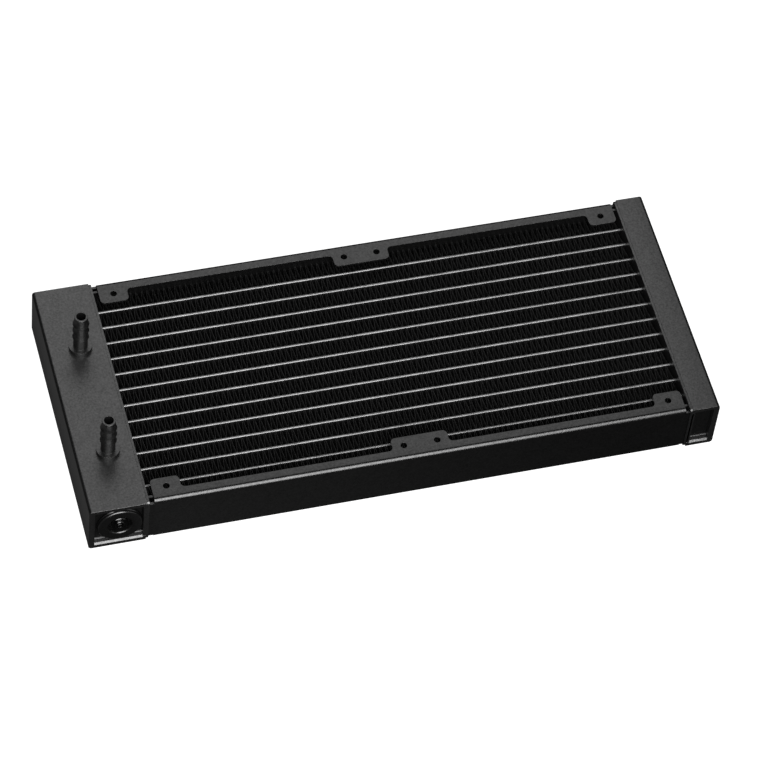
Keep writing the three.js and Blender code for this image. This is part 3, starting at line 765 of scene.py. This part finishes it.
def flange_plan(outside):
    """Flange with its three tabs, seen from above."""
    r, end_x = TAB_RADIUS, FLANGE_HALF_LENGTH
    tabs = [
        (-end_x, -CORNER_TAB_START),
        (-MIDDLE_TAB_HALF, MIDDLE_TAB_HALF),
        (CORNER_TAB_START, end_x),
    ]
    outline = [(-end_x, outside)]
    for start, end in tabs:
        if start > -end_x:
            outline += arc(start - r, FLANGE_EDGE - r, r, 90, 0, 8)
        outline += arc(start + r, TAB_EDGE + r, r, 180, 270, 8)
        outline += arc(end - r, TAB_EDGE + r, r, -90, 0, 8)
        if end < end_x:
            outline += arc(end + r, FLANGE_EDGE - r, r, 180, 90, 8)
    outline.append((end_x, outside))
    return [(FAN_CENTRE_X + u, v) for u, v in outline]


def side_channel(side):
    """Folded section cut to the flanges' plan, with only the flat of its web past their ends."""
    cad_node = f"side_channel_{side}"
    low, high = box_mm(cad_node)
    half_width = high[1] if side == "rear" else -low[1]
    turn = Matrix.Identity(4) if side == "rear" else Matrix.Diagonal((1, -1, 1, 1))
    section = channel_section(half_width, low[2], high[2])
    folded = turned_over(prism(section, along_x, low[0], high[0]), turn)
    obj = new_object("channel", *folded)
    outside = half_width + CUT_MARGIN
    under, over = low[2] - CUT_MARGIN, high[2] + CUT_MARGIN
    plan = turned_over(prism(flange_plan(outside), along_z, under, over), turn)
    shape = new_object("shape", *plan)
    inside = half_width - CHANNEL_SHEET - CUT_MARGIN
    start, end, edge = low[0] - CUT_MARGIN, high[0] + CUT_MARGIN, outside + CUT_MARGIN
    web = [(start, inside), (end, inside), (end, edge), (start, edge)]
    flat = (low[2] + CHANNEL_BOTTOM_BEND, high[2] - CHANNEL_TOP_BEND)
    carve(shape, [turned_over(prism(web, along_z, *flat), turn)], "UNION")
    modifier = obj.modifiers.new("carve", "BOOLEAN")
    modifier.operation, modifier.solver, modifier.object = "INTERSECT", "EXACT", shape
    apply_modifiers(obj)
    bpy.data.objects.remove(shape)
    y = SCREW_Y if side == "rear" else -SCREW_Y
    bore = [(0, under), (SCREW_HOLE_RADIUS, under), (SCREW_HOLE_RADIUS, over), (0, over)]
    carve(obj, [lathe(bore, offset(FAN_CENTRE_X + x, y, 0), 40) for x in SCREW_X])
    smooth(obj)
    edge_round(obj, EDGE_ROUND["channel"])
    return finished(obj, cad_node, CHANNEL_PAINT)


# Assembly --------------------------------------------------------------------------------------

barbs = []
for cad_node in ("hose_barb_rear", "hose_barb_front"):
    low, high = box_mm(cad_node)
    barbs.append(((low[0] + high[0]) / 2, (low[1] + high[1]) / 2, BARB_HOLE))
    hose_barb(cad_node)
tank_shell("left", SHELL_LEFT, HEADER_LEFT, barbs)
tank_shell("right", SHELL_RIGHT, HEADER_RIGHT, [])
header_plate("left", HEADER_LEFT)
header_plate("right", HEADER_RIGHT)
port_low, port_high = box_mm("port_boss")
end_cap("end_cap_left_front", True, ((port_low[0] + port_high[0]) / 2, PORT_NECK_HOLE))
end_cap("end_cap_left_rear", False)
end_cap("end_cap_right_front", True)
end_cap("end_cap_right_rear", False)
port_boss()
fill_plug()
plug_seal()
rng = np.random.default_rng(SEED)
for i in range(TUBE_COUNT):
    coolant_tube(i)
for i in range(TUBE_COUNT + 1):
    fin_row(i, rng)
for side in ("rear", "front"):
    side_channel(side)
    dressed(f"core_side_plate_{side}", CHANNEL_PAINT)
dressed("divider_plate", TANK_PAINT)

# ---------------------------------------------------------------------------------------------
# Floor, lights and camera
# ---------------------------------------------------------------------------------------------

FLOOR_SIZE = 40.0
FLOOR_GAP = 0.0003
GLINT_FADE = (0.03, 0.09)  # metres outside the radiator's outline
GLINT_X = (-0.15, 0.1)  # metres that the levels run over
GLINT_LEVELS = [(0.0, 0.13), (0.05, 0.03), (0.12, 0.03), (0.17, 0.1), (1.0, 0.018)]
UNDER_GLINT = 0.8
UNDER_FADE = (-0.006, -0.003)


def floor_glint(tree):
    """How brightly the floor shows in glossy surfaces: evenly under the radiator, and close round it by
    levels along X that are listed in GLINT_LEVELS. A real floor has no such levels."""
    coords = node(tree, "ShaderNodeTexCoord").outputs["Object"]
    place = node(tree, "ShaderNodeSeparateXYZ", {0: coords})
    past = []
    for axis, half in (("X", LENGTH_HALF), ("Y", WIDTH_HALF)):
        size = node(tree, "ShaderNodeMath", {0: place.outputs[axis]}, operation="ABSOLUTE")
        outside = {0: size.outputs[0], 1: half * MM}
        past.append(node(tree, "ShaderNodeMath", outside, operation="SUBTRACT").outputs[0])
    away = node(tree, "ShaderNodeMath", {0: past[0], 1: past[1]}, operation="MAXIMUM").outputs[0]
    near = in_range(tree, away, 1.0, 0.0, *GLINT_FADE)
    along = in_range(tree, place.outputs["X"], 0.0, 1.0, *GLINT_X)
    level = ramp(tree, along, GLINT_LEVELS)
    around = node(tree, "ShaderNodeMath", {0: near, 1: level}, operation="MULTIPLY").outputs[0]
    under = in_range(tree, away, UNDER_GLINT, 0.0, *UNDER_FADE)
    return node(tree, "ShaderNodeMath", {0: around, 1: under}, operation="ADD").outputs[0]


def floor():
    """White to the camera, dim in reflections, and clear from below."""
    half = FLOOR_SIZE / 2
    corners = [(-half, -half), (half, -half), (half, half), (-half, half)]
    mesh = bpy.data.meshes.new("floor")
    mesh.from_pydata([(x, y, -FLOOR_GAP) for x, y in corners], [], [(0, 1, 2, 3)])
    obj = bpy.data.objects.new("floor", mesh)
    bpy.context.scene.collection.objects.link(obj)
    made = bpy.data.materials.new("floor")
    made.use_nodes = True
    tree = made.node_tree
    tree.nodes.clear()
    paper = noise(tree, 60, 3.0)
    white = ramp(tree, paper, [(0.0, 0.93), (1.0, 0.96)])
    matte = node(tree, "ShaderNodeBsdfDiffuse", {"Color": white})
    glow = node(tree, "ShaderNodeEmission", {"Color": white, "Strength": 1.25})
    pale = node(
        tree, "ShaderNodeMixShader", {0: 0.9, 1: matte.outputs[0], 2: glow.outputs[0]}
    )
    dim = node(tree, "ShaderNodeEmission", {"Color": white, "Strength": floor_glint(tree)})
    seen = node(tree, "ShaderNodeLightPath").outputs["Is Camera Ray"]
    lit = node(tree, "ShaderNodeMixShader", {0: seen, 1: dim.outputs[0], 2: pale.outputs[0]})
    clear = node(tree, "ShaderNodeBsdfTransparent")
    below = node(tree, "ShaderNodeNewGeometry").outputs["Backfacing"]
    both = node(tree, "ShaderNodeMixShader", {0: below, 1: lit.outputs[0], 2: clear.outputs[0]})
    out = node(tree, "ShaderNodeOutputMaterial")
    tree.links.new(both.outputs[0], out.inputs["Surface"])
    obj.data.materials.append(made)


def world():
    """White to the camera and nearly black to everything else."""
    made = bpy.data.worlds.new("studio")
    bpy.context.scene.world = made
    made.use_nodes = True
    tree = made.node_tree
    tree.nodes.clear()
    dim = node(tree, "ShaderNodeBackground", {"Color": (1, 1, 1, 1), "Strength": 0.012})
    pale = node(tree, "ShaderNodeBackground", {"Color": (1, 1, 1, 1), "Strength": 1.1})
    camera_ray = node(tree, "ShaderNodeLightPath").outputs["Is Camera Ray"]
    both = node(tree, "ShaderNodeMixShader", {0: camera_ray, 1: dim.outputs[0], 2: pale.outputs[0]})
    out = node(tree, "ShaderNodeOutputWorld")
    tree.links.new(both.outputs[0], out.inputs["Surface"])


def softbox(name, direction, distance, size, power):
    """Area light that faces the middle of the radiator from a direction."""
    data = bpy.data.lights.new(name, "AREA")
    data.shape, data.size, data.size_y, data.energy = "RECTANGLE", size[0], size[1], power
    obj = bpy.data.objects.new(name, data)
    bpy.context.scene.collection.objects.link(obj)
    away = Vector(direction).normalized()
    obj.location = away * distance
    obj.rotation_mode = "QUATERNION"
    obj.rotation_quaternion = away.to_track_quat("Z", "Y")
    return obj


CAMERA_PLACE = (-0.36536, -0.99143, 1.43460)
CAMERA_FORWARD = (0.20747, 0.55693, -0.80423)
CAMERA_UP = (0.16024, 0.79170, 0.58960)
CAMERA_LENS, CAMERA_SENSOR = 189.96, 36


def camera():
    data = bpy.data.cameras.new("camera")
    data.lens, data.sensor_width = CAMERA_LENS, CAMERA_SENSOR
    data.clip_start, data.clip_end = 0.05, 60
    obj = bpy.data.objects.new("camera", data)
    bpy.context.scene.collection.objects.link(obj)
    forward_axis = Vector(CAMERA_FORWARD).normalized()
    up = Vector(CAMERA_UP)
    right = forward_axis.cross(up).normalized()
    up = right.cross(forward_axis)
    turn = Matrix((right, up, -forward_axis)).transposed()
    obj.matrix_world = Matrix.Translation(CAMERA_PLACE) @ turn.to_4x4()
    bpy.context.scene.camera = obj


floor()
world()
softbox("key", (0.05, 0.63, 0.77), 2.0, (1.7, 1.3), 13.5)
softbox("front", (-0.10, -0.77, 0.65), 2.0, (1.8, 2.1), 160)
softbox("front_right", (0.75, -0.60, 0.30), 2.2, (1.2, 1.2), 6)
camera()
bpy.context.scene.view_settings.view_transform = "Standard"
